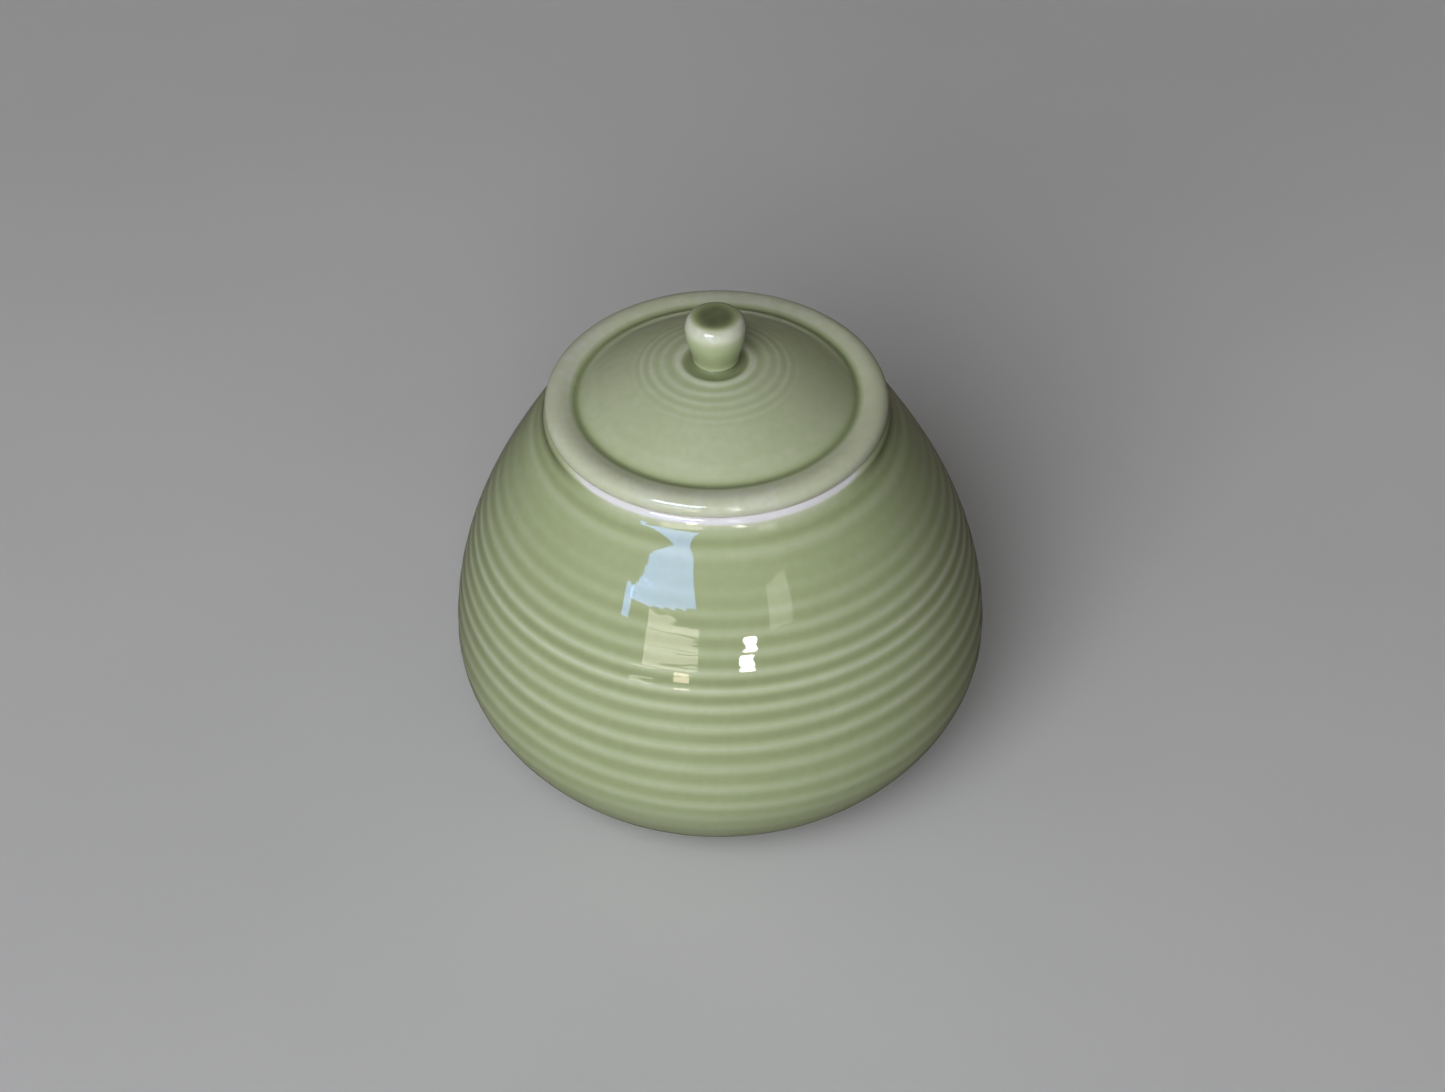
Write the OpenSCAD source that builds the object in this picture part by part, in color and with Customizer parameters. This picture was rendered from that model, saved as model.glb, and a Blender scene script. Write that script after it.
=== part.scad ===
// Thrown porcelain bowl with a lift-off cap lid and a luted knob.
// Every piece is a solid of revolution about Z. The origin is the centre of the foot,
// on the table. All lengths are in millimetres.

/* [Bowl] */
// Height of the lid seat above the table
seat_z = 100; // [92:0.5:108]
// Diameter of the belly at its widest
belly_d = 128; // [122:0.5:134]
// Height of the widest point of the belly
belly_z = 32; // [29:0.5:38]
// Outside diameter of the rim
rim_d = 81.2; // [80.6:0.1:84]
// Thickness of the wall
wall = 4.2; // [3.4:0.1:5]
// Height of the cavity floor above the table
floor_z = 9; // [8:0.5:11]

/* [Foot] */
// Outside diameter of the foot ring
foot_d = 75; // [68:0.5:80]
// Width of the foot ring where it touches the table
foot_w = 4.5; // [3:0.5:6]
// Height of the turned hollow inside the foot ring
foot_recess = 3; // [1.5:0.5:4]
// How much higher the hollow is at its centre
foot_dome = 0.6; // [0:0.1:1]

/* [Throwing rings] */
// Height from one throwing ring to the next on the bowl
ring_pitch = 5.3; // [4.5:0.1:6.5]
// How far a throwing ring stands above the hollow beside it
ring_depth = 0.3; // [0.1:0.05:0.6]
// Spacing of the fine rings around the knob
lid_ring_pitch = 2.6; // [2.2:0.1:3.2]
// How far a fine ring stands above the hollow beside it
lid_ring_depth = 0.2; // [0.05:0.05:0.3]

/* [Lid] */
// Outside diameter of the lid
lid_d = 80.4; // [79:0.1:82]
// Radius of the groove between the dome and the rolled edge
groove_r = 32.9; // [31.5:0.1:34]
// Depth of the groove below the rolled edge
groove_depth = 0.8; // [0.5:0.1:1.2]
// Height of the rolled edge above the seat
edge_h = 4; // [3.5:0.1:4.4]
// How far the dome rises above the rolled edge
dome_rise = 10.5; // [9:0.1:12]
// Thickness of the dome
lid_wall = 4.2; // [3.6:0.1:4.8]
// Distance from the lid's outside in to the highest line of its rolled edge
edge_roll = 3.4; // [3:0.1:4]
// How far the locating flange reaches down inside the mouth
flange_h = 5; // [3:0.5:7]
// Thickness of the flange
flange_t = 3.4; // [2.8:0.1:4]
// Gap all round between the flange and the mouth
flange_gap = 0.6; // [0.4:0.1:1]

/* [Knob] */
// Height of the knob
knob_h = 13.5; // [12:0.5:16]
// Diameter of the knob's shoulder, its widest part
knob_d = 14.4; // [12.5:0.1:15]
// How far the shoulder is below the knob's top
knob_shoulder = 3.6; // [3:0.1:4.2]
// Diameter of the knob's lower edge
knob_base_d = 11.2; // [10:0.1:12]
// Diameter of the short neck under that edge
knob_neck_d = 8.8; // [8:0.1:9.6]
// Height of the neck
knob_neck_h = 1.2; // [0.8:0.1:1.8]
// Depth of the dish in the knob's top
knob_dish = 0.2; // [0.1:0.1:0.6]

/* [Hidden] */
$fn = 128;

GLAZE = [0.60, 0.66, 0.50];
PALE_GLAZE = [0.70, 0.74, 0.60];
WALL_STEPS = 60;   // straight steps along each long curve of the bowl
CURVE_STEPS = 16;  // straight steps along an ordinary curve
ROUND_STEPS = 6;   // straight steps around a small rounded edge

belly_r = belly_d / 2;
rim_r = rim_d / 2;
foot_r = foot_d / 2;
lip_round = 1.5;                        // rounding of the rim's outer edge
lip_inner_round = 0.8;                  // rounding of the rim's inner edge
neck_z = seat_z - lip_round;            // where the outer wall meets the lip's rounding
mouth_r = rim_r - wall;
foot_edge_z = 1.6;                      // height of the foot ring's outer edge
foot_bevel = 0.5;
ring_fade = 12;                         // height over which the rings die away at each end
lid_r = lid_d / 2;
flange_r = mouth_r - flange_gap;
flange_in_r = flange_r - flange_t;
flange_round = 1.2;                     // height of the flange's rounded lower end
knob_r = knob_d / 2;
knob_base_r = knob_base_d / 2;
knob_neck_r = knob_neck_d / 2;
moat_r = 8.6;                           // outer radius of the hollow around the knob
moat_depth = 1.3;
lid_ring_count = 5;
notch_half = 0.45;                      // half the width of the line cut along the groove
notch_depth = 0.25;

// ---- Curves ----

// A point on a cubic curve with end points p[0] and p[3] and handles p[1] and p[2]
function curve_point(p, t) =
    pow(1 - t, 3) * p[0]
    + 3 * pow(1 - t, 2) * t * p[1]
    + 3 * (1 - t) * t * t * p[2]
    + pow(t, 3) * p[3];

// A unit vector along the curve at t
function curve_along(p, t) =
    let (d = pow(1 - t, 2) * (p[1] - p[0]) + 2 * (1 - t) * t * (p[2] - p[1]) + t * t * (p[3] - p[2]))
    d / norm(d);

// Points along a curve, without its first point, so that curves join without repeats
function curve(p, steps) = [for (i = [1:steps]) curve_point(p, i / steps)];

// The same, moved sideways by side: positive is to the right when going along the curve
function side_curve(p, steps, side) =
    [for (i = [1:steps])
        let (t = i / steps, d = curve_along(p, t))
        curve_point(p, t) + side * [d[1], -d[0]]];

// From 0 to 1 as v goes from 0 to 1, with level ends
function ease(v) =
    let (c = max(0, min(1, v)))
    c * c * (3 - 2 * c);

// ---- Throwing rings ----

// Height of the bowl's rings above its plain wall at height z
function bowl_ring(z) =
    let (fade = ease((z - foot_edge_z) / ring_fade) * ease((neck_z - z) / ring_fade))
    fade * ring_depth / 2 * cos(360 * z / ring_pitch);

// Adds the rings to points of a plain wall, square to the curve they came from
function ringed_curve(p, steps) =
    [for (i = [1:steps])
        let (t = i / steps, at = curve_point(p, t), d = curve_along(p, t))
        at + bowl_ring(at[1]) * [d[1], -d[0]]];

// Height of the lid's fine rings above its plain dome at radius r
function lid_ring(r) =
    let (
        turns = (r - moat_r) / lid_ring_pitch - 0.5,
        fade = ease(turns + 0.5) * ease(lid_ring_count - turns)
    )
    fade * lid_ring_depth / 2 * cos(360 * turns);

// ---- Bowl ----

// Outer wall from the foot ring up to the belly, then from the belly up to the lip
LOWER_WALL = [
    [foot_r, foot_edge_z],
    [foot_r + 0.53 * (belly_r - foot_r), foot_edge_z + 0.085 * (belly_z - foot_edge_z)],
    [belly_r, belly_z - 0.34 * (belly_z - foot_edge_z)],
    [belly_r, belly_z]
];
UPPER_WALL = [
    [belly_r, belly_z],
    [belly_r, belly_z + 0.48 * (neck_z - belly_z)],
    [rim_r + 0.3 * (belly_r - rim_r), neck_z - 0.205 * (neck_z - belly_z)],
    [rim_r, neck_z]
];

// Inside of the cavity, from the mouth down to the belly, then to the centre of the floor
INNER_LOWER = [
    [belly_r - wall, belly_z],
    [belly_r - wall, belly_z - 0.82 * (belly_z - floor_z)],
    [0.74 * (belly_r - wall), floor_z],
    [0, floor_z]
];

// The rim's flat seat with its two rounded edges, from outside to inside
function lip() = concat(
    [for (i = [1:ROUND_STEPS])
        let (a = 90 * i / ROUND_STEPS)
        [rim_r - lip_round + lip_round * cos(a), neck_z + lip_round * sin(a)]],
    [for (i = [0:ROUND_STEPS])
        let (a = 90 + 90 * i / ROUND_STEPS)
        [mouth_r + lip_inner_round * (1 + cos(a)), seat_z - lip_inner_round * (1 - sin(a))]]
);

// The wall's inner side, from the mouth down to the belly
function inner_upper() =
    let (p = [UPPER_WALL[3], UPPER_WALL[2], UPPER_WALL[1], UPPER_WALL[0]])
    [for (q = side_curve(p, CURVE_STEPS * 2, wall)) if (q[1] < neck_z - wall) q];

// The turned hollow under the foot, rising gently to the centre
FOOT_HOLLOW = [
    [0, foot_recess + foot_dome],
    [0.4 * foot_r, foot_recess + foot_dome],
    [foot_r - foot_w - foot_recess, foot_recess],
    [foot_r - foot_w - foot_bevel, foot_bevel]
];

module bowl() {
    color(GLAZE)
    rotate_extrude()
    polygon(concat(
        [[foot_r - foot_bevel, 0], [foot_r, foot_bevel], LOWER_WALL[0]],
        ringed_curve(LOWER_WALL, WALL_STEPS),
        ringed_curve(UPPER_WALL, WALL_STEPS),
        lip(),
        inner_upper(),
        curve(INNER_LOWER, CURVE_STEPS * 2),
        [FOOT_HOLLOW[0]],
        curve(FOOT_HOLLOW, CURVE_STEPS),
        [[foot_r - foot_w, 0]]
    ));
}

// ---- Lid ----

crest_r = lid_r - edge_roll;
edge_z = seat_z + edge_h;
groove_z = edge_z - groove_depth;           // where the dome and the rolled edge meet
dome_edge_r = groove_r - notch_half;
shelf_r = groove_r + notch_half;
dome_h = dome_rise + groove_depth;          // height of the dome's cap above the groove
dome_top_z = groove_z + dome_h;
dome_sphere_r = (pow(dome_edge_r, 2) + pow(dome_h, 2)) / (2 * dome_h);
underside_r = flange_in_r - 1;              // where the underside runs out into the flange
flange_foot_z = seat_z - flange_h;
flange_side_z = flange_foot_z + flange_round;

// Height of a sphere's cap at radius r from its axis, with its top at top_z
function cap_z(sphere_r, top_z, r) = top_z - sphere_r + sqrt(pow(sphere_r, 2) - pow(r, 2));

function dome_z(r) = cap_z(dome_sphere_r, dome_top_z, r);

function underside_z(r) = cap_z(dome_sphere_r - lid_wall, dome_top_z - lid_wall, r);

// The rolled edge, from the seat out around and up to its crest
function rolled_edge() = concat(
    curve([[lid_r - 0.6, seat_z], [lid_r - 0.2, seat_z], [lid_r, seat_z + 0.3], [lid_r, seat_z + 1.3]],
        ROUND_STEPS),
    curve([[lid_r, seat_z + 1.3], [lid_r, edge_z - 0.9], [crest_r + 1.8, edge_z], [crest_r, edge_z]],
        CURVE_STEPS)
);

// From the crest down into the groove and across the line cut along its bottom
function groove() = concat(
    curve([[crest_r, edge_z], [crest_r - 1.2, edge_z], [shelf_r + 0.9, groove_z + 0.3], [shelf_r, groove_z]],
        CURVE_STEPS),
    curve([[shelf_r, groove_z], [shelf_r - 0.4 * notch_half, groove_z - notch_depth],
        [dome_edge_r + 0.4 * notch_half, groove_z - notch_depth], [dome_edge_r, groove_z]], 2 * ROUND_STEPS)
);

// The dome with its fine rings, from its edge in to the hollow around the knob
function ringed_dome() =
    [for (i = [1:WALL_STEPS])
        let (r = dome_edge_r + (moat_r - dome_edge_r) * i / WALL_STEPS)
        [r, dome_z(r) + lid_ring(r)]];

// The hollow around the knob, ending at the knob's flat seat
function moat() =
    curve([[moat_r, dome_z(moat_r)], [moat_r - 1, dome_z(moat_r)], [moat_r - 1.2, knob_foot_z],
        [knob_base_r + 0.4, knob_foot_z]], CURVE_STEPS);

// The lid's underside, from the centre out to the flange
function underside() =
    [for (i = [0:CURVE_STEPS])
        let (r = underside_r * i / CURVE_STEPS)
        [r, underside_z(r)]];

module lid() {
    color(PALE_GLAZE)
    rotate_extrude()
    polygon(concat(
        [[lid_r - 0.6, seat_z]],
        rolled_edge(),
        groove(),
        ringed_dome(),
        moat(),
        [[0, knob_foot_z]],
        underside(),
        [[flange_in_r, underside_z(underside_r) - 1.5], [flange_in_r, flange_side_z]],
        curve([[flange_in_r, flange_side_z], [flange_in_r, flange_foot_z], [flange_r, flange_foot_z],
            [flange_r, flange_side_z]], CURVE_STEPS),
        [[flange_r, seat_z]]
    ));
}

// ---- Knob ----

knob_foot_z = dome_top_z - moat_depth;
knob_top_z = knob_foot_z + knob_h;
shoulder_z = knob_top_z - knob_shoulder;
base_z = knob_foot_z + knob_neck_h + 0.8;   // where the side leaves the rounded lower edge
top_r = 0.66 * knob_r;                      // edge of the dished top
dish_r = 0.5 * knob_r;                      // edge of the dish's flat bottom
dish_z = knob_top_z - knob_dish;

// The neck and the rounded lower edge, from the knob's foot up to its side
function knob_base() = concat(
    [[knob_neck_r, knob_foot_z]],
    curve([[knob_neck_r, knob_foot_z], [knob_neck_r, knob_foot_z + knob_neck_h],
        [knob_base_r, knob_foot_z + 0.7 * knob_neck_h], [knob_base_r, base_z]], CURVE_STEPS)
);

// The side up to the shoulder, and around it to the edge of the top
function knob_head() = concat(
    curve([[knob_base_r, base_z], [knob_base_r + 0.3, base_z + 0.36 * (shoulder_z - base_z)],
        [knob_r, shoulder_z - 0.4 * (shoulder_z - base_z)], [knob_r, shoulder_z]], CURVE_STEPS),
    curve([[knob_r, shoulder_z], [knob_r, shoulder_z + 0.6 * knob_shoulder], [0.88 * knob_r, knob_top_z],
        [top_r, knob_top_z]], CURVE_STEPS)
);

module knob() {
    color(PALE_GLAZE)
    rotate_extrude()
    polygon(concat(
        [[0, knob_foot_z]],
        knob_base(),
        knob_head(),
        curve([[top_r, knob_top_z], [0.6 * top_r + 0.4 * dish_r, knob_top_z],
            [0.4 * top_r + 0.6 * dish_r, dish_z], [dish_r, dish_z]], CURVE_STEPS),
        [[0, dish_z]]
    ));
}

bowl();
lid();
knob();
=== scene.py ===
import math

import bmesh
import bpy
import numpy as np
from mathutils import Matrix, Vector


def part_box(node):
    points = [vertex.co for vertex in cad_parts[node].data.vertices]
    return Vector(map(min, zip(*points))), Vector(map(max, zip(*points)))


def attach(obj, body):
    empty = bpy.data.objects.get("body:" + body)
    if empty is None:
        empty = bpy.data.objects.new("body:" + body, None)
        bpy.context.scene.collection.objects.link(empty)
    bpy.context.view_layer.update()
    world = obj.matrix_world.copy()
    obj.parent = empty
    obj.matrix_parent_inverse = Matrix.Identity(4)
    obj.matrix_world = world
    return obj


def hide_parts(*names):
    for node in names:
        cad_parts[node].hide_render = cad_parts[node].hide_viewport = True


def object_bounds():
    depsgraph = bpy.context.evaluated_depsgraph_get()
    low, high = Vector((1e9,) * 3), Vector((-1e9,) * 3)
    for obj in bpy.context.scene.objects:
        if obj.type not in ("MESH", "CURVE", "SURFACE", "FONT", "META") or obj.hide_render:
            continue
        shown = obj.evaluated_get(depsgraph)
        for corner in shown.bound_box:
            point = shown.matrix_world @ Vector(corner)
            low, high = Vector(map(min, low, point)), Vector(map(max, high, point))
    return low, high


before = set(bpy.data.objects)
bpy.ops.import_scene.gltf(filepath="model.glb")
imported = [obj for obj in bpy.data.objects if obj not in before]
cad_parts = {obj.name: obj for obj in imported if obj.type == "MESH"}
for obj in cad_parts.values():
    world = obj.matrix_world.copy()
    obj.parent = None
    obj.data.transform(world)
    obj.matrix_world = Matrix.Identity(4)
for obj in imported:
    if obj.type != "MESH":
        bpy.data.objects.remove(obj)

# The looks of a wheel-thrown celadon bowl with a lid and a knob. Each clay piece is lathed from the
# outline of its CAD node and given the potter's finger rings. A coat of glaze then levels the rings
# and runs thin over what stands proud and thick into hollows, which is what colours it.
# Lengths are in metres, so MM turns millimetres into them. Azimuth 0 is the front, towards -Y.

MM = 0.001
CAD_LOW, CAD_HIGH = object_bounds()
FULL_TURN = 2.0 * math.pi

FINE_STEP = 0.25 * MM     # spacing of the outline that shapes and glaze are worked out on
CUT_ANGLE = 0.11          # azimuth at which a CAD node is cut to read its outline, off its seams
EDGE_SOFTNESS = 0.3 * MM  # how far the melted glaze rounds a turned edge


# ---- Small helpers ----

def ease(value):
    """0 to 1 as value goes from 0 to 1, with level ends."""
    c = np.clip(value, 0.0, 1.0)
    return c * c * (3.0 - 2.0 * c)


def between(value, low, high, fade):
    """1 where value lies from low to high, falling to 0 over fade outside them."""
    return ease((value - low) / fade + 1.0) * ease((high - value) / fade + 1.0)


def hump(value, centre, width):
    """A smooth bump of height 1 at centre that has all but gone at width on either side."""
    return np.exp(-4.0 * ((value - centre) / width) ** 2)


def ripple(turns, sharpness):
    """A ridge once a turn: 1 on the crest and 0 in the hollow, narrower with more sharpness."""
    return (0.5 + 0.5 * np.cos(FULL_TURN * turns)) ** sharpness


def azimuths(segments):
    """The azimuths of a lathed piece's segments, as one row."""
    return np.linspace(0.0, FULL_TURN, segments, endpoint=False)[None, :]


# ---- Outlines ----

def cut_loop(node):
    """The closed outline where an upright plane through the axis cuts a CAD node, as (across, height)."""
    out = Vector((math.cos(CUT_ANGLE), math.sin(CUT_ANGLE), 0.0))
    square = Vector((-math.sin(CUT_ANGLE), math.cos(CUT_ANGLE), 0.0))
    work = bmesh.new()
    work.from_mesh(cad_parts[node].data)
    bmesh.ops.remove_doubles(work, verts=work.verts, dist=1e-7)
    everything = work.verts[:] + work.edges[:] + work.faces[:]
    cut = bmesh.ops.bisect_plane(work, geom=everything, plane_co=(0, 0, 0), plane_no=square)["geom_cut"]
    links = {}
    for edge in (item for item in cut if isinstance(item, bmesh.types.BMEdge)):
        first, second = edge.verts
        links.setdefault(first, []).append(second)
        links.setdefault(second, []).append(first)
    start = max(links, key=lambda v: v.co.dot(out))
    loop, last = [start], None
    while True:
        onward = [v for v in links[loop[-1]] if v is not last]
        last = loop[-1]
        if not onward or onward[0] is start:
            break
        loop.append(onward[0])
    points = np.array([(v.co.dot(out), v.co.z) for v in loop])
    work.free()
    return points


def cad_outline(node):
    """A node's half outline as (radius, height): from the axis below, around outside, to the axis on top."""
    loop = cut_loop(node)
    ahead = np.roll(loop, -1, axis=0)
    crossing = np.flatnonzero(loop[:, 0] * ahead[:, 0] < 0)
    share = loop[crossing, 0] / (loop[crossing, 0] - ahead[crossing, 0])
    on_axis = loop[crossing] + share[:, None] * (ahead[crossing] - loop[crossing])
    on_axis[:, 0] = 0.0
    lower, upper = np.argmin(on_axis[:, 1]), np.argmax(on_axis[:, 1])
    order = np.roll(loop, -(crossing[lower] + 1), axis=0)
    if order[0, 0] < 0:
        order = np.roll(loop[::-1], crossing[lower] + 1, axis=0)
    half = order[: int(np.argmax(order[:, 0] < 0))]
    return even(np.vstack([on_axis[lower], half, on_axis[upper]]), FINE_STEP)


def along(points):
    """Distance travelled along a line of points."""
    return np.concatenate([[0.0], np.cumsum(np.hypot(*np.diff(points, axis=0).T))])


def even(points, step):
    """The same line with points about one step apart."""
    travel = along(points)
    places = np.linspace(0.0, travel[-1], int(round(travel[-1] / step)) + 1)
    return np.stack([np.interp(places, travel, points[:, k]) for k in (0, 1)], axis=1)


def softened(points, softness):
    """An even line smoothed over softness. It carries on across the axis as its own mirror image."""
    reach = int(4 * softness / FINE_STEP) + 1
    weight = np.exp(-0.5 * (np.arange(-reach, reach + 1) * FINE_STEP / softness) ** 2)
    weight /= weight.sum()
    flip = np.array([-1.0, 1.0])
    padded = np.vstack([points[reach:0:-1] * flip, points, points[-2:-reach - 2:-1] * flip])
    return np.stack([np.convolve(padded[:, k], weight, "valid") for k in (0, 1)], axis=1)


def outward(points):
    """Unit normals of a line of points, to the right of its direction, which is out of the clay."""
    step = np.gradient(points, axis=0)
    step /= np.hypot(*step.T)[:, None]
    return np.stack([step[:, 1], -step[:, 0]], axis=1)


def raised(outline, relief):
    """Radius and height of every point of an outline moved outward by relief[point, segment]."""
    normals = outward(outline)
    return outline[:, :1] + normals[:, :1] * relief, outline[:, 1:] + normals[:, 1:] * relief


# ---- Glaze ----

# How far off the glaze feels a bend in the clay, and how proud the clay stands where that thins it
GLAZE_REACHES = ((0.75 * MM, 0.16 * MM), (2.0 * MM, 0.8 * MM))


def proud(radius, height, reach):
    """How far each point stands out from between its neighbours at reach on either side."""
    n = max(1, int(round(reach / FINE_STEP)))
    wide_r = np.pad(radius, ((n, n), (0, 0)), mode="edge")
    wide_z = np.pad(height, ((n, n), (0, 0)), mode="edge")
    out_r = radius - 0.5 * (wide_r[2 * n:] + wide_r[: -2 * n])
    out_z = height - 0.5 * (wide_z[2 * n:] + wide_z[: -2 * n])
    step_r = np.gradient(radius, axis=0)
    step_z = np.gradient(height, axis=0)
    return (out_r * step_z - out_z * step_r) / (np.hypot(step_r, step_z) + 1e-12)


def glaze_depth(outline, clay):
    """How thick the glaze lies over the clay's relief: 0 on sharp edges, 0.5 on plain walls, 1 in hollows."""
    radius, height = raised(outline, clay)
    thinning = sum(proud(radius, height, reach) / pull for reach, pull in GLAZE_REACHES)
    return 1.0 / (1.0 + np.exp(np.clip(thinning, -30.0, 30.0)))


# ---- Lathed pieces ----

def kept_rows(outline, spacing):
    """The points of a fine outline to keep, so that neighbours are about spacing[point] apart."""
    travel = along(outline)
    count = np.concatenate([[0.0], np.cumsum(np.diff(travel) / (0.5 * (spacing[1:] + spacing[:-1])))])
    wanted = np.linspace(0.0, count[-1], int(round(count[-1])) + 1)
    rows = np.unique(np.searchsorted(count, wanted).clip(0, len(travel) - 1))
    rows[0], rows[-1] = 0, len(travel) - 1
    return rows


def lathe(name, outline, skin, layers, spacing):
    """Turns an outline about Z with skin[point, segment] added outward. layers are stored on the points."""
    segments = skin.shape[1]
    rows = kept_rows(outline, spacing)
    radius, height = raised(outline, skin)
    angle = azimuths(segments)
    inner = rows[1:-1]
    x = radius[inner] * np.sin(angle)
    y = -radius[inner] * np.cos(angle)
    rings = np.stack([x, y, height[inner]], axis=-1).reshape(-1, 3)
    poles = np.array([[0.0, 0.0, height[0].mean()], [0.0, 0.0, height[-1].mean()]])
    here = np.arange(segments)
    beside = (here + 1) % segments
    faces = []
    for below in range(0, (len(inner) - 1) * segments, segments):
        above = below + segments
        faces += np.stack([below + here, below + beside, above + beside, above + here], axis=1).tolist()
    last = (len(inner) - 1) * segments
    faces += np.stack([beside, here, np.full(segments, len(rings))], axis=1).tolist()
    faces += np.stack([last + here, last + beside, np.full(segments, len(rings) + 1)], axis=1).tolist()
    mesh = bpy.data.meshes.new(name)
    mesh.from_pydata(np.vstack([rings, poles]).tolist(), [], faces)
    mesh.update()
    for title, values in layers.items():
        full = np.broadcast_to(values, skin.shape)
        flat = np.concatenate([full[inner].ravel(), [full[0].mean(), full[-1].mean()]])
        mesh.attributes.new(title, "FLOAT", "POINT").data.foreach_set("value", flat.astype(np.float32))
    mesh.polygons.foreach_set("use_smooth", [True] * len(mesh.polygons))
    piece = bpy.data.objects.new(name, mesh)
    bpy.context.scene.collection.objects.link(piece)
    return piece


# ---- Bowl ----

BOWL_SEGMENTS = 288
FOOT_EDGE = 1.6 * MM           # height of the foot's outer edge; climb is distance up the wall from there

# The CAD's even rings are smoothed away, so that thrown ones replace them. Nearer to the foot or to
# the rim than the margin, the outline stays as it is.
CAD_RING_SOFTNESS = 4.2 * MM
SMOOTH_MARGIN, SMOOTH_FADE = 9.0 * MM, 7.0 * MM

# The spiral of finger rings up the wall, counted in turns from the lowest clear ring at the front
RING_START = 37.0 * MM         # climb to that ring
RING_PITCH = 5.06 * MM         # average climb from ring to ring
RING_SWELL = 2.1 * MM          # how far the middle rings sit above an even spacing
RING_SWAY = 0.6 * MM           # a shorter wander of the spacing on top of that
SWAY_START, SWAY_LENGTH = 2.5, 8.0  # the turn where that wander starts, and the turns it takes
RING_COUNT = 12
RING_OVERRUN = 9.0             # turns worked out past the lowest and the highest ring
RING_WAVER = 0.05              # turns by which the spiral wavers on its way round

# The height of a ring, and how it varies
RING_HEIGHT = 0.33 * MM        # from hollow to crest in the clay
RING_SHARPNESS = 1.15
RING_MIDDLE = 0.45             # share of the height that lies below the plain wall
UNEVEN_UP, UNEVEN_ROUND = 0.15, 0.10  # how much it varies from ring to ring, and along one ring
LOW_START, LOW_FADE = 0.6, 3.2   # turns before the lowest ring where they start, turns to full height
HIGH_END, HIGH_FADE = 0.8, 5.2   # turns past the highest ring where they end, turns from full height
FAINTEST_RING = 0.09           # share of the full height left at the foot and under the rim

# The share of the clay's relief that shows through the glaze
SHOULDER_LEVELLING = 0.05
BELLY_LEVELLING = 0.32
SHOULDER_CLIMB = 95.0 * MM     # climb where the shoulder's share starts to give way
LEVELLING_FADE = 40.0 * MM     # and how far below that the belly's is reached

# A soft swelling below the rim and a hollow above it: climb, how much, and how far it reaches
SWELLING_CLIMB, SWELLING_HEIGHT, SWELLING_REACH = 106.6 * MM, 0.22 * MM, 5.0 * MM
HOLLOW_CLIMB, HOLLOW_DEPTH, HOLLOW_REACH = 109.6 * MM, 0.19 * MM, 3.2 * MM

# Where the relief starts and ends. Outside, these are distances from the foot's edge and the rim.
# In the cavity they are distances from the rim and the middle of the floor.
RELIEF_START, RELIEF_END, RELIEF_FADE = 5.0 * MM, 4.5 * MM, 4.0 * MM
CAVITY_START, CAVITY_END, CAVITY_FADE = 10.0 * MM, 7.0 * MM, 6.0 * MM

# The rings in the cavity, and how far the wall is out of round, in two ways
INNER_RING_PITCH = 6.5 * MM
INNER_RING_HEIGHT = 0.2 * MM
INNER_SHARPNESS, INNER_MIDDLE = 1.2, 0.4
OVAL, THREE_SIDED = 0.12 * MM, 0.05 * MM
THREE_SIDED_TWIST = 30.0       # radians of phase that the second one gains in a metre of climb

# Painted light and shade on the rim: the glaze's depth is cut in front, where the light falls, to paint it
# paler, and raised at the back to paint it darker
RIM_BAND_START = 110.5 * MM    # climb where that starts
RIM_BAND_FADE = 3.4 * MM
RIM_PAINTED_LIGHT_FRONT = 0.33       # depth taken off in front, as painted light
RIM_PAINTED_SHADE_BACK = -0.42       # and at the back, where depth is added instead, as painted shade
FRONT_COSINE = 0.35            # cosine of the azimuth where the back gives way to the front
FRONT_FADE = 0.5

SEAT_DEPTH = 0.10 * MM         # the clay is bare to this far below the rim's highest line
FOOT_BARE = 0.45 * MM          # and to this height on the foot ring
FOOT_BARE_FADE = 0.3 * MM

# Distance between the mesh's rows. Where that changes is counted in points of the fine outline, from
# the rim and from the foot's edge.
WALL_SPACING = 0.64 * MM
INSIDE_SPACING = 1.5 * MM
RIM_SPACING, RIM_POINTS = 0.4 * MM, 24
FOOT_SPACING, FOOT_POINTS_IN, FOOT_POINTS_OUT = 0.5 * MM, 30, 12


def ring_turns(climb):
    """Turns of the throwing spiral at a distance up the wall, at the front."""
    turn = np.linspace(-RING_OVERRUN, RING_COUNT + RING_OVERRUN, 800)
    swell = RING_SWELL * np.sin(math.pi * turn / RING_COUNT)
    sway = RING_SWAY * np.sin(FULL_TURN * (turn - SWAY_START) / SWAY_LENGTH)
    return np.interp(climb, RING_START + RING_PITCH * turn + swell + sway, turn)


def wall_relief(climb, angle):
    """The clay's relief up the outside wall: finger rings, a swelling under the rim and a hollow above it."""
    # No ring is quite like the next: the spiral wavers, and its height swells and sinks
    front = ring_turns(climb)
    turns = front + angle / FULL_TURN + RING_WAVER * np.sin(2.0 * angle + 0.6 * front)
    fade = ease((front + LOW_START) / LOW_FADE) * ease((RING_COUNT + HIGH_END - front) / HIGH_FADE)
    uneven = 1.0 + UNEVEN_UP * np.sin(1.9 * front + 0.4) + UNEVEN_ROUND * np.sin(3.0 * angle + 1.3 * front)
    strength = FAINTEST_RING + (1.0 - FAINTEST_RING) * fade
    rings = RING_HEIGHT * strength * uneven * (ripple(turns, RING_SHARPNESS) - RING_MIDDLE)
    swelling = SWELLING_HEIGHT * hump(climb, SWELLING_CLIMB, SWELLING_REACH)
    hollow = HOLLOW_DEPTH * hump(climb, HOLLOW_CLIMB, HOLLOW_REACH)
    return rings + swelling - hollow


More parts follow.
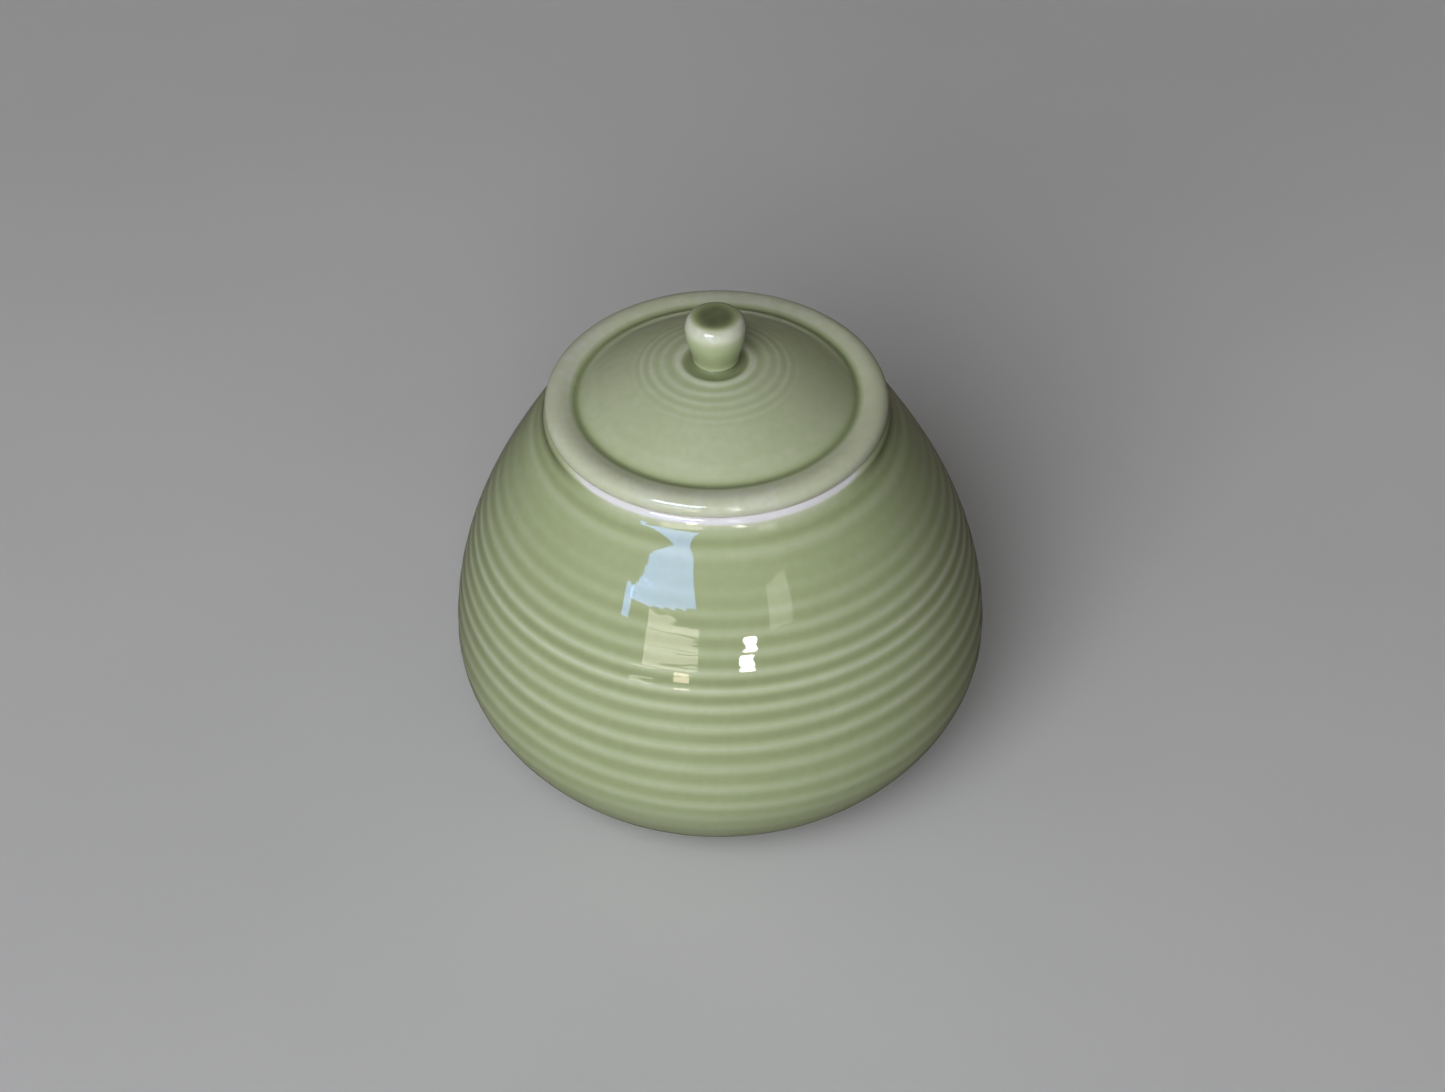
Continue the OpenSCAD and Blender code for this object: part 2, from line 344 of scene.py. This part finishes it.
def build_bowl():
    rough = cad_outline("bowl")
    plain = softened(rough, EDGE_SOFTNESS)
    widest = int(np.argmax(plain[:, 0]))
    top = int(np.argmax(plain[:, 1]))
    foot = int(np.flatnonzero(plain[:widest, 1] < FOOT_EDGE)[-1])
    path = along(plain)
    outside = between(path, path[foot] + SMOOTH_MARGIN, path[top] - SMOOTH_MARGIN, SMOOTH_FADE)[:, None]
    body = plain + outside * (softened(rough, CAD_RING_SOFTNESS) - plain)
    travel = along(body)[:, None]
    angle = azimuths(BOWL_SEGMENTS)

    climb = travel - travel[foot]
    wall_top = travel[top] - travel[foot]
    on_wall = between(climb, RELIEF_START, wall_top - RELIEF_END, RELIEF_FADE)
    clay = on_wall * wall_relief(climb, angle)
    on_belly = ease((SHOULDER_CLIMB - climb) / LEVELLING_FADE)
    levelling = SHOULDER_LEVELLING + (BELLY_LEVELLING - SHOULDER_LEVELLING) * on_belly
    oval = OVAL * np.sin(2.0 * angle + 0.7)
    three_sided = THREE_SIDED * np.sin(3.0 * angle + 2.0 + THREE_SIDED_TWIST * climb)
    in_cavity = between(travel, travel[top] + CAVITY_START, travel[-1] - CAVITY_END, CAVITY_FADE)
    inner_turns = (travel - travel[top]) / INNER_RING_PITCH - angle / FULL_TURN
    inner_rings = INNER_RING_HEIGHT * (ripple(inner_turns, INNER_SHARPNESS) - INNER_MIDDLE)
    clay = clay + in_cavity * inner_rings
    skin = on_wall * (clay * levelling + oval + three_sided) + in_cavity * inner_rings * BELLY_LEVELLING

    radius, height = body[:, :1], body[:, 1:]
    seat = (height > height[top] - SEAT_DEPTH) * 1.0
    foot_ring = between(height, -MM, FOOT_BARE, FOOT_BARE_FADE) * (travel < travel[widest])
    spacing = np.full(len(body), INSIDE_SPACING)
    spacing[foot:top] = WALL_SPACING
    spacing[top - RIM_POINTS: top + RIM_POINTS] = RIM_SPACING
    spacing[foot - FOOT_POINTS_IN: foot + FOOT_POINTS_OUT] = FOOT_SPACING
    # Painted light and shade on the rim: paler in front, darker at the back
    in_front = ease((np.cos(angle) - FRONT_COSINE) / FRONT_FADE)
    near_rim = ease((climb - RIM_BAND_START) / RIM_BAND_FADE) * (travel <= travel[top] + MM)
    rim_light_and_shade = (RIM_PAINTED_SHADE_BACK + (RIM_PAINTED_LIGHT_FRONT - RIM_PAINTED_SHADE_BACK) * in_front) * near_rim
    layers = {
        "glaze_depth": np.clip(glaze_depth(body, clay) - rim_light_and_shade, 0.0, 1.0),
        "bare": np.clip(seat + foot_ring, 0.0, 1.0),
    }
    piece = lathe("bowl_body", body, skin, layers, spacing)
    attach(piece, "bowl")
    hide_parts("bowl")
    return piece


# ---- Lid ----

LID_SEGMENTS = 288

# The CAD's even rings on the dome are smoothed away between these radii
DOME_SOFTNESS = 2.2 * MM
DOME_START, DOME_END, DOME_FADE = 10.6 * MM, 27.0 * MM, 2.5 * MM

# The fine rings around the knob
LID_RING_FIRST = 9.4 * MM     # radius of the first
LID_RING_PITCH = 2.95 * MM    # distance from it to the next
LID_RING_CLOSING = 0.125 * MM  # how they close up further out
LID_RING_HEIGHT = 0.062 * MM
LID_RING_SHARPNESS, LID_RING_MIDDLE = 1.1, 0.45
LID_RING_WAVER, LID_RING_UNEVEN = 0.12, 0.3
LID_RING_START, LID_RING_END = 8.8 * MM, 15.0 * MM  # they are at their full height between these radii
LID_RING_FADE = 6.5 * MM      # and die away over this distance
LID_LEVELLING = 0.35          # share of their height that shows through the glaze

LID_WARP = 0.06 * MM          # how far the lid's border is warped
WARP_START, WARP_FADE = 24.0 * MM, 6.0 * MM

# The fillet of slip and glaze round the knob's neck
KNOB_NECK = 4.4 * MM          # radius of the neck
FILLET_HEIGHT = 1.1 * MM      # how far the fillet climbs it
FILLET_REACH = 0.55 * MM
FILLET_END = 12.0 * MM        # radius past which nothing is left of it

POOL_EDGE, POOL_DEPTH, POOL_FADE = 6.3 * MM, 0.32, 2.4 * MM     # glaze pooled around the knob
POOL_HEART, HEART_DEPTH, HEART_FADE = 5.0 * MM, 0.25, 1.4 * MM  # and what is added at its deepest
SLOPE_RADIUS = 35.0 * MM      # middle of the slope outside the groove, painted paler there as painted light
# painted light on that slope: depth taken off, and how far it reaches
SLOPE_PAINTED_LIGHT = 0.14
SLOPE_REACH = 2.0 * MM
FLANGE_RADIUS = 31.0 * MM     # the underside's bare clay starts outside this
LID_BARE = 0.3 * MM           # and reaches this far above the bowl's rim

# Distance between the mesh's rows. The rolled edge reaches from BELOW to ABOVE the widest point,
# counted in points of the fine outline.
LID_TOP_SPACING = 0.36 * MM
LID_UNDER_SPACING = 0.9 * MM
LID_EDGE_SPACING, LID_EDGE_BELOW, LID_EDGE_ABOVE = 0.3 * MM, 30, 60


def lid_ring_turns(radius):
    """Turns of the fine spiral at a radius, counted from the first ring outward."""
    turn = np.linspace(-4.0, 11.0, 400)
    return np.interp(radius, LID_RING_FIRST + LID_RING_PITCH * turn - LID_RING_CLOSING * turn ** 2, turn)


def build_lid():
    rough = cad_outline("lid")
    plain = softened(rough, EDGE_SOFTNESS)
    widest = int(np.argmax(plain[:, 0]))
    on_top = (np.arange(len(plain)) > widest)[:, None]
    on_dome = on_top * between(plain[:, :1], DOME_START, DOME_END, DOME_FADE)
    body = plain + on_dome * (softened(rough, DOME_SOFTNESS) - plain)
    radius, height = body[:, :1], body[:, 1:]
    angle = azimuths(LID_SEGMENTS)

    turns = lid_ring_turns(radius) + LID_RING_WAVER * np.sin(angle + 0.8)
    fade = on_top * between(radius, LID_RING_START, LID_RING_END, LID_RING_FADE)
    uneven = 1.0 + LID_RING_UNEVEN * np.sin(2.0 * angle + 1.7 * turns)
    clay = LID_RING_HEIGHT * uneven * fade * (ripple(turns, LID_RING_SHARPNESS) - LID_RING_MIDDLE)
    on_border = on_top * ease((radius - WARP_START) / WARP_FADE + 1.0)
    warp = LID_WARP * np.sin(2.0 * angle + 1.0) * on_border
    off_neck = np.maximum(radius - KNOB_NECK, 0.0)
    fillet = FILLET_HEIGHT * np.exp(-off_neck / FILLET_REACH) * on_top * (radius < FILLET_END)
    skin = clay * LID_LEVELLING + warp + fillet

    seat_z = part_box("bowl")[1].z
    wiped = (height < seat_z + LID_BARE) & (radius > FLANGE_RADIUS) & ~on_top
    pool = POOL_DEPTH * between(radius, -MM, POOL_EDGE, POOL_FADE)
    heart = HEART_DEPTH * between(radius, -MM, POOL_HEART, HEART_FADE)
    # Painted light: the slope outside the groove is painted paler against its shade
    painted_slope_light = SLOPE_PAINTED_LIGHT * hump(radius, SLOPE_RADIUS, SLOPE_REACH)
    spacing = np.full(len(body), LID_UNDER_SPACING)
    spacing[widest:] = LID_TOP_SPACING
    spacing[widest - LID_EDGE_BELOW: widest + LID_EDGE_ABOVE] = LID_EDGE_SPACING
    layers = {
        "glaze_depth": np.clip(glaze_depth(body, clay) + on_top * (pool + heart - painted_slope_light), 0.0, 1.0),
        "bare": wiped * 1.0,
    }
    piece = lathe("lid_cap", body, skin, layers, spacing)
    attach(piece, "lid")
    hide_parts("lid")
    return piece


# ---- Knob ----

KNOB_SEGMENTS = 144
KNOB_SPACING = 0.3 * MM       # distance between the mesh's rows
KNOB_ROUNDING = 1.1 * MM      # how far the knob's shoulder is rounded
ROUND_START, ROUND_FADE = 0.55, 0.2  # share of the knob's height where that starts
STEM_OVAL = 0.07 * MM         # how far the stem is out of round
STEM_START, STEM_END, STEM_FADE = 0.15, 0.8, 0.1  # between these shares of the height

# Glaze pooled in the dished top, out to a radius and above a share of the knob's height
KNOB_POOL_DEPTH = 0.33
KNOB_POOL_EDGE, KNOB_POOL_FADE = 4.7 * MM, 1.5 * MM
KNOB_POOL_BACK = 0.6 * MM     # how far back of the knob's axis it lies
DISH_START, DISH_FADE = 0.9, 0.06

# Glaze breaking over the shoulder: how much thinner it is, the share of the height where it is
# thinnest and how far that reaches, and the radii that it lies between
KNOB_BREAK, BREAK_LEVEL, BREAK_REACH = 0.28, 0.84, 0.36
BREAK_START, BREAK_END, BREAK_FADE = 5.2 * MM, 9.0 * MM, 1.2 * MM


def build_knob():
    rough = cad_outline("knob")
    low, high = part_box("knob")
    level = (rough[:, 1:] - low.z) / (high.z - low.z)
    rounded = ease((level - ROUND_START) / ROUND_FADE)
    body = softened(rough, EDGE_SOFTNESS)
    body += rounded * (softened(rough, KNOB_ROUNDING) - body)
    radius = body[:, :1]
    angle = azimuths(KNOB_SEGMENTS)
    skin = STEM_OVAL * between(level, STEM_START, STEM_END, STEM_FADE) * np.sin(2.0 * angle + 0.4)
    from_pool = np.hypot(radius * np.sin(angle), radius * np.cos(angle) + KNOB_POOL_BACK)
    in_pool = between(from_pool, -MM, KNOB_POOL_EDGE, KNOB_POOL_FADE)
    in_dish = in_pool * ease((level - DISH_START) / DISH_FADE + 1.0)
    breaking = hump(level, BREAK_LEVEL, BREAK_REACH)
    on_shoulder = breaking * between(radius, BREAK_START, BREAK_END, BREAK_FADE)
    depth = glaze_depth(body, np.zeros_like(skin)) + KNOB_POOL_DEPTH * in_dish - KNOB_BREAK * on_shoulder
    layers = {
        "glaze_depth": np.clip(depth, 0.0, 1.0),
        "bare": np.zeros_like(level),
    }
    piece = lathe("knob_stem", body, skin, layers, np.full(len(body), KNOB_SPACING))
    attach(piece, "lid")
    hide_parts("knob")
    return piece


# ---- Materials ----

# Glaze colour by depth, from thin over white porcelain to pooled, as linear red, green and blue
GLAZE_COLOURS = (
    (0.00, (0.74, 0.74, 0.78)),
    (0.10, (0.70, 0.71, 0.69)),
    (0.20, (0.57, 0.605, 0.45)),
    (0.34, (0.45, 0.505, 0.325)),
    (0.52, (0.36, 0.42, 0.235)),
    (0.70, (0.29, 0.335, 0.18)),
    (0.86, (0.22, 0.25, 0.13)),
    (1.00, (0.13, 0.15, 0.08)),
)
CLAY_COLOURS = ((0.3, (0.56, 0.51, 0.44)), (0.7, (0.70, 0.66, 0.60)))
TOASTED = (0.33, 0.21, 0.12, 1.0)
SPECK = (0.05, 0.045, 0.02, 1.0)

# Detail on the pieces. Each scale is how many times the pattern repeats in about a metre.
DRIFT_SCALE, DRIFT = 24.0, 0.16       # slow change in the glaze's depth, and how much of it
MOTTLE_SCALE, MOTTLE = 420.0, 0.12    # the same, fine
SPECK_SCALE, SPECK_SIZE = 150.0, 0.022  # iron specks, and their size as a share of their spacing
SPECK_PATCHES, SPECK_RARITY = 31.0, 0.58  # they come in patches; more rarity leaves fewer of these
SPECK_STRENGTH = 0.7
CLAY_SCALE = 1800.0                   # grain of bare clay
TOAST_SCALE, TOAST_CONTRAST = 40.0, 6.0
GLOSS_SCALE, GLOSS, DULLING = 55.0, 0.005, 0.03  # roughness of the glaze at its least, and what adds to it
CLAY_DULLING = 0.6
SWELL_SCALE, SWELL = 90.0, 0.8        # the glaze's slow waviness, as bump
PIN_SCALE, PIN = 900.0, 0.04          # its fine pitting
TOOTH = 0.5                           # and the bare clay's grain


class Nodes:
    """Adds shader nodes to one tree with short calls."""

    def __init__(self, tree):
        self.tree = tree
        self.tree.nodes.clear()

    def add(self, kind, **inputs):
        node = self.tree.nodes.new(kind)
        for title, value in inputs.items():
            self.plug(node.inputs[title.replace("_", " ")], value)
        return node

    def plug(self, socket, value):
        if isinstance(value, bpy.types.NodeSocket):
            self.tree.links.new(value, socket)
        else:
            socket.default_value = value

    def math(self, operation, a, b=0.0, clamp=False):
        node = self.tree.nodes.new("ShaderNodeMath")
        node.operation = operation
        node.use_clamp = clamp
        self.plug(node.inputs[0], a)
        self.plug(node.inputs[1], b)
        return node.outputs[0]

    def mix(self, share, a, b):
        node = self.tree.nodes.new("ShaderNodeMix")
        node.data_type = "RGBA"
        self.plug(node.inputs[0], share)
        self.plug(node.inputs[6], a)
        self.plug(node.inputs[7], b)
        return node.outputs[2]

    def ramp(self, value, stops):
        node = self.tree.nodes.new("ShaderNodeValToRGB")
        band = node.color_ramp
        while len(band.elements) < len(stops):
            band.elements.new(0.5)
        for element, (place, colour) in zip(band.elements, stops):
            element.position = place
            element.color = (*colour, 1.0)
        self.plug(node.inputs[0], value)
        return node.outputs[0]

    def attribute(self, name):
        node = self.tree.nodes.new("ShaderNodeAttribute")
        node.attribute_name = name
        return node.outputs["Fac"]

    def noise(self, where, scale, detail=3.0):
        return self.add("ShaderNodeTexNoise", Vector=where, Scale=scale, Detail=detail).outputs["Fac"]

    def about_zero(self, value, size, clamp=False):
        """A 0 to 1 value turned into one from -size/2 to size/2."""
        return self.math("MULTIPLY", self.math("SUBTRACT", value, 0.5), size, clamp)


def material_nodes(name):
    material = bpy.data.materials.new(name)
    material.use_nodes = True
    return material, Nodes(material.node_tree)


def celadon(name, thickness, thinnest):
    """Celadon glaze over porcelain. It is bare clay, toasted at its border, where the bare layer says so.
    thickness is added to the glaze's depth, which nowhere falls below thinnest."""
    material, n = material_nodes(name)
    where = n.add("ShaderNodeTexCoord").outputs["Object"]
    bare = n.attribute("bare")

    drifting = n.about_zero(n.noise(where, DRIFT_SCALE, 2.0), DRIFT)
    mottled = n.about_zero(n.noise(where, MOTTLE_SCALE, 4.0), MOTTLE)
    uneven = n.math("ADD", drifting, mottled)
    # The glaze_depth layer also carries painted light and shade on the bowl's rim and painted light on the
    # lid's slope
    coat = n.math("MAXIMUM", n.math("ADD", n.attribute("glaze_depth"), thickness), thinnest)
    glaze = n.ramp(n.math("ADD", coat, uneven, clamp=True), GLAZE_COLOURS)

    cells = n.add("ShaderNodeTexVoronoi", Vector=where, Scale=SPECK_SCALE)
    spot = n.math("LESS_THAN", cells.outputs["Distance"], SPECK_SIZE)
    rare = n.math("GREATER_THAN", n.noise(where, SPECK_PATCHES, 1.0), SPECK_RARITY)
    speck = n.math("MULTIPLY", n.math("MULTIPLY", spot, rare), SPECK_STRENGTH)
    glazed = n.mix(speck, glaze, SPECK)

    grain = n.noise(where, CLAY_SCALE, 4.0)
    clay = n.ramp(grain, CLAY_COLOURS)
    border = n.math("MULTIPLY", n.math("MULTIPLY", bare, n.math("SUBTRACT", 1.0, bare)), 4.0)
    patchy = n.about_zero(n.noise(where, TOAST_SCALE, 2.0), TOAST_CONTRAST, clamp=True)
    toasted = n.mix(n.math("MULTIPLY", border, patchy, clamp=True), clay, TOASTED)
    colour = n.mix(bare, glazed, toasted)

    gloss = n.math("ADD", n.math("MULTIPLY", n.noise(where, GLOSS_SCALE, 3.0), DULLING), GLOSS)
    rough = n.math("ADD", gloss, n.math("MULTIPLY", bare, CLAY_DULLING))

    swell = n.math("MULTIPLY", n.noise(where, SWELL_SCALE, 2.0), SWELL)
    pin = n.math("MULTIPLY", n.noise(where, PIN_SCALE, 2.0), PIN)
    tooth = n.math("MULTIPLY", n.math("MULTIPLY", grain, bare), TOOTH)
    bump = n.add(
        "ShaderNodeBump",
        Strength=0.10,
        Distance=0.0006,
        Height=n.math("ADD", n.math("ADD", swell, pin), tooth),
    )
    shader = n.add(
        "ShaderNodeBsdfPrincipled",
        Base_Color=colour,
        Roughness=rough,
        IOR=1.5,
        Normal=bump.outputs[0],
        Subsurface_Weight=0.10,
        Subsurface_Radius=(0.9, 1.0, 0.6),
        Subsurface_Scale=0.0012,
    )
    n.add("ShaderNodeOutputMaterial", Surface=shader.outputs[0])
    return material


FLOOR_COLOURS = ((0.3, (0.60, 0.60, 0.61)), (0.7, (0.64, 0.64, 0.65)))  # what the camera sees
FLOOR_BOUNCE = (0.11, 0.106, 0.10, 1.0)    # what lights the clay from below, as off a dark cloth
FLOOR_MIRRORED = (0.21, 0.19, 0.145, 1.0)  # what the glaze mirrors at its outline
FLOOR_SCALE = 6.0
FLOOR_RADIUS = 5.0
FLOOR_SIDES = 96


def floor_material():
    """A plain pale floor."""
    material, n = material_nodes("pale_floor")
    where = n.add("ShaderNodeTexCoord").outputs["Object"]
    tone = n.ramp(n.noise(where, FLOOR_SCALE, 3.0), FLOOR_COLOURS)
    path = n.add("ShaderNodeLightPath").outputs
    unseen = n.mix(path["Is Glossy Ray"], FLOOR_BOUNCE, FLOOR_MIRRORED)
    colour = n.mix(path["Is Camera Ray"], unseen, tone)
    shader = n.add("ShaderNodeBsdfPrincipled", Base_Color=colour, Roughness=0.85)
    n.add("ShaderNodeOutputMaterial", Surface=shader.outputs[0])
    return material


# ---- Setting ----

def build_floor():
    turns = [FULL_TURN * k / FLOOR_SIDES for k in range(FLOOR_SIDES)]
    edge = [(FLOOR_RADIUS * math.cos(t), FLOOR_RADIUS * math.sin(t), 0.0) for t in turns]
    mesh = bpy.data.meshes.new("floor")
    mesh.from_pydata(edge, [], [list(range(FLOOR_SIDES))])
    floor = bpy.data.objects.new("floor", mesh)
    floor.location.z = CAD_LOW.z
    floor.data.materials.append(floor_material())
    bpy.context.scene.collection.objects.link(floor)


def direction(azimuth, elevation):
    """Unit vector towards a place seen from the bowl, in degrees; azimuth is positive to the right."""
    a, e = math.radians(azimuth), math.radians(elevation)
    return Vector((math.sin(a) * math.cos(e), -math.cos(a) * math.cos(e), math.sin(e)))


LIGHT_DISTANCE = 1.7
SILL_DISTANCE = 0.5  # panes below the horizon stand closer, so that the floor doesn't hide them

# The soft boxes that light the clay: azimuth, elevation, width and height in metres, light that
# reaches the bowl in watts a square metre, colour. They leave no reflection in the glaze.
SOFT_BOXES = {
    "key": (-18, 27, 1.2, 2.1, 3.85, (0.98, 0.98, 0.99)),
    "back": (168, 6, 1.6, 0.8, 0.4, (1.0, 0.98, 0.92)),
}

SKY_RADIANCE, SKY_COLOUR = 11.0, (0.30, 0.47, 1.0)
BLIND_RADIANCE, BLIND_COLOUR = 5.2, (1.0, 0.93, 0.80)
LAMP_COLOUR = (1.0, 1.0, 0.96)

# The window panes and the lamps that the glaze mirrors: azimuths from and to, elevations from and
# to, radiance, colour. They light nothing else.
PANES = {
    "sky_edge": (-45.5, -42.0, 8.5, 13.0, SKY_RADIANCE, SKY_COLOUR),
    "sill": (-18.5, -12.5, -3.4, -0.2, 11.0, (1.0, 0.82, 0.62)),
    "far_sill": (-36.0, -26.5, -1.6, -0.1, 5.0, BLIND_COLOUR),
    "window_top": (-46.0, -10.0, 36.0, 51.0, 26.0, (0.66, 0.82, 1.0)),
    "rim_glint": (6.0, 13.0, 25.0, 32.0, 16.0, LAMP_COLOUR),
    "right_pane": (22.0, 33.0, 10.0, 16.0, 2.2, (1.0, 1.0, 0.85)),
    "lamp": (7.2, 14.0, 1.6, 4.6, 26.0, LAMP_COLOUR),
    "lamp_glow": (9.0, 15.5, 6.4, 8.2, 22.0, LAMP_COLOUR),
}
ROUND_PANES = ("lamp", "lamp_glow")

# The light that comes between the slats of the blind, as elevations from and to
BLIND_GAPS = ((1.5, 3.7), (4.2, 5.9), (6.4, 7.9), (8.4, 11.5))
BLIND_LEFT, BLIND_RIGHT = -33.0, -9.5

# The sky over the blind is a stack of strips, because it narrows upwards and its foot is cut off at
# a slant: elevations of its foot and tip, azimuths at its foot and the azimuth it narrows towards
SKY_FOOT, SKY_TIP = 12.0, 24.0
SKY_LEFT, SKY_RIGHT, SKY_MIDDLE = -43.5, -9.0, -19.0
SKY_STRIPS = 16
SKY_NARROWING = 0.92                     # share of its width that it has lost at the tip
SKY_CURVE = 1.25                         # 1 makes its left side straight, more makes it bulge
SKY_SLANT_START, SKY_SLANT = -34.0, 7.0  # azimuth where the slant starts, and degrees across for each one up


def area_light(name, azimuth, elevation, distance, size, radiance, colour):
    """A rectangular light that faces the middle of the bowl. The camera doesn't see it."""
    wide, high = size
    data = bpy.data.lights.new(name, "AREA")
    data.shape = "RECTANGLE"
    data.size = wide
    data.size_y = high
    data.energy = radiance * math.pi * wide * high
    data.color = colour
    light = bpy.data.objects.new(name, data)
    towards = direction(azimuth, elevation)
    light.location = 0.5 * (CAD_LOW + CAD_HIGH) + towards * distance
    light.rotation_euler = towards.to_track_quat("Z", "Y").to_euler()
    light.visible_camera = False
    bpy.context.scene.collection.objects.link(light)
    return light


def build_soft_boxes():
    for name, (azimuth, elevation, wide, high, reaching, colour) in SOFT_BOXES.items():
        radiance = reaching * LIGHT_DISTANCE ** 2 / (wide * high)
        box = area_light(name, azimuth, elevation, LIGHT_DISTANCE, (wide, high), radiance, colour)
        box.visible_glossy = False


def blind_gaps():
    """The gaps between the slats, laid out like PANES."""
    gaps = {}
    for k, (low, high) in enumerate(BLIND_GAPS):
        gaps[f"blind_{k}"] = (BLIND_LEFT, BLIND_RIGHT, low, high, BLIND_RADIANCE, BLIND_COLOUR)
    return gaps


def sky_strips():
    """The strips of sky, laid out like PANES."""
    strips = {}
    step = (SKY_TIP - SKY_FOOT) / SKY_STRIPS
    for k in range(SKY_STRIPS):
        narrowing = SKY_NARROWING * (k + 0.5) / SKY_STRIPS
        low = SKY_FOOT + step * k
        left = SKY_LEFT + (SKY_MIDDLE - SKY_LEFT) * narrowing ** SKY_CURVE
        right = SKY_RIGHT + (SKY_MIDDLE - SKY_RIGHT) * narrowing
        slant = SKY_SLANT_START + (low + 0.5 * step - SKY_FOOT) * SKY_SLANT
        strips[f"sky_{k}"] = (left, min(right, slant), low, low + step, SKY_RADIANCE, SKY_COLOUR)
    return strips


def build_panes():
    panes = {**PANES, **blind_gaps(), **sky_strips()}
    for name, (left, right, bottom, top, radiance, colour) in panes.items():
        azimuth, elevation = 0.5 * (left + right), 0.5 * (bottom + top)
        distance = SILL_DISTANCE if bottom < 0.0 else LIGHT_DISTANCE
        across = distance * math.cos(math.radians(elevation))
        wide = 2.0 * across * math.tan(math.radians(0.5 * (right - left)))
        high = 2.0 * distance * math.tan(math.radians(0.5 * (top - bottom)))
        pane = area_light(name, azimuth, elevation, distance, (wide, high), radiance, colour)
        pane.visible_diffuse = False
        if name in ROUND_PANES:
            pane.data.shape = "ELLIPSE"


# The room that the glaze mirrors, from its far side to its window side
ROOM_TONES = (
    (0.0, (0.034, 0.028, 0.020)),
    (0.5, (0.050, 0.043, 0.033)),
    (0.8, (0.09, 0.09, 0.086)),
    (1.0, (0.16, 0.16, 0.16)),
)
WINDOW_SIDE = (-35, 35)             # its azimuth and elevation
BACKDROP = (0.38, 0.38, 0.39, 1.0)  # what the camera sees past the floor


def build_world():
    """A dim room, brighter towards the window. The camera sees a plain pale backdrop instead."""
    world = bpy.data.worlds.new("room")
    world.use_nodes = True
    n = Nodes(world.node_tree)
    facing = n.add("ShaderNodeVectorMath")
    facing.operation = "DOT_PRODUCT"
    n.plug(facing.inputs[0], n.add("ShaderNodeTexCoord").outputs["Generated"])
    facing.inputs[1].default_value = direction(*WINDOW_SIDE)
    share = n.math("ADD", n.math("MULTIPLY", facing.outputs["Value"], 0.5), 0.5)
    room = n.ramp(share, ROOM_TONES)
    seen = n.add("ShaderNodeLightPath").outputs["Is Camera Ray"]
    tone = n.mix(seen, room, BACKDROP)
    background = n.add("ShaderNodeBackground", Color=tone, Strength=1.0)
    n.add("ShaderNodeOutputWorld", Surface=background.outputs[0])
    bpy.context.scene.world = world


CAMERA_ELEVATION = 41.6
CAMERA_DISTANCE = 0.9946
CAMERA_ROLL = 0.9
CAMERA_AIM = (0.00086, 0.0, 0.0562)
CAMERA_LENS = 103.2


def build_camera():
    data = bpy.data.cameras.new("camera")
    data.lens = CAMERA_LENS
    data.sensor_width = 36.0
    data.clip_start = 0.01
    data.clip_end = 50.0
    camera = bpy.data.objects.new("camera", data)
    back = direction(0, CAMERA_ELEVATION)
    camera.location = Vector(CAMERA_AIM) + back * CAMERA_DISTANCE
    facing = (-back).to_track_quat("-Z", "Y").to_matrix().to_4x4()
    rolled = facing @ Matrix.Rotation(math.radians(-CAMERA_ROLL), 4, "Z")
    camera.rotation_euler = rolled.to_euler()
    bpy.context.scene.collection.objects.link(camera)
    bpy.context.scene.camera = camera


build_bowl().data.materials.append(celadon("celadon_bowl", 0.0, 0.0))
build_lid().data.materials.append(celadon("celadon_lid", -0.15, 0.2))
build_knob().data.materials.append(celadon("celadon_knob", 0.14, 0.17))
build_floor()
build_soft_boxes()
build_panes()
build_world()
build_camera()
bpy.context.scene.view_settings.view_transform = "Standard"
